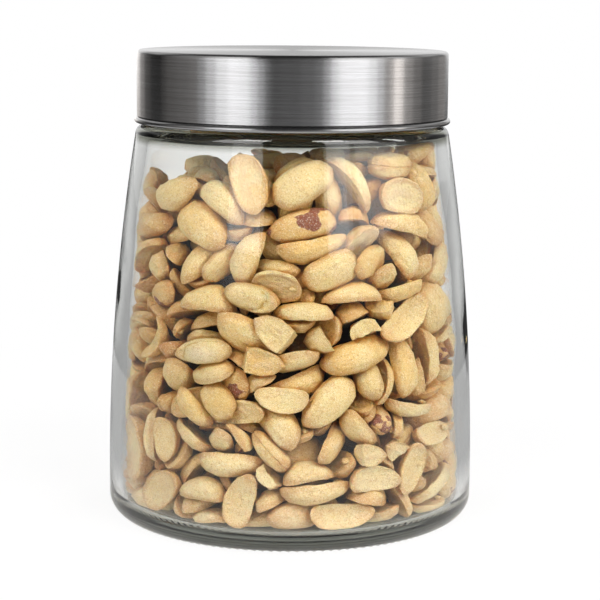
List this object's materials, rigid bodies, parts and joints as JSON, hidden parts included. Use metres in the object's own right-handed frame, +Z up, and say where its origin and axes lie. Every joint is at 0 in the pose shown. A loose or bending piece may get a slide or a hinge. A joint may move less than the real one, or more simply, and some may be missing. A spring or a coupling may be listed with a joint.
{
  "type": "screw-top glass jar of peanuts",
  "caption": "Round glass storage jar that tapers up to a screw-on brushed steel lid with a rolled hem, filled with a loose heap of blanched peanuts.",
  "frame": {"origin": "centre of the foot, on the plane the jar stands on", "axes": "+Z up along the jar's axis, -Y towards the viewer"},
  "size_m": [0.1178, 0.1178, 0.1487],
  "materials": {
    "clear_glass": "clear pressed soda glass, smooth, faint grey-green where it is thick",
    "brushed_steel": "stainless sheet brushed round the side, fine satin",
    "white_insert": "plain moulded polypropylene",
    "peanuts": "dry roasted blanched nuts, matt cream to tan"
  },
  "bodies": {
    "root": {"glass_jar": "clear_glass", "lid_shell": "brushed_steel", "lid_insert": "white_insert", "peanut_heap": "peanuts"}
  },
  "joints": []
}
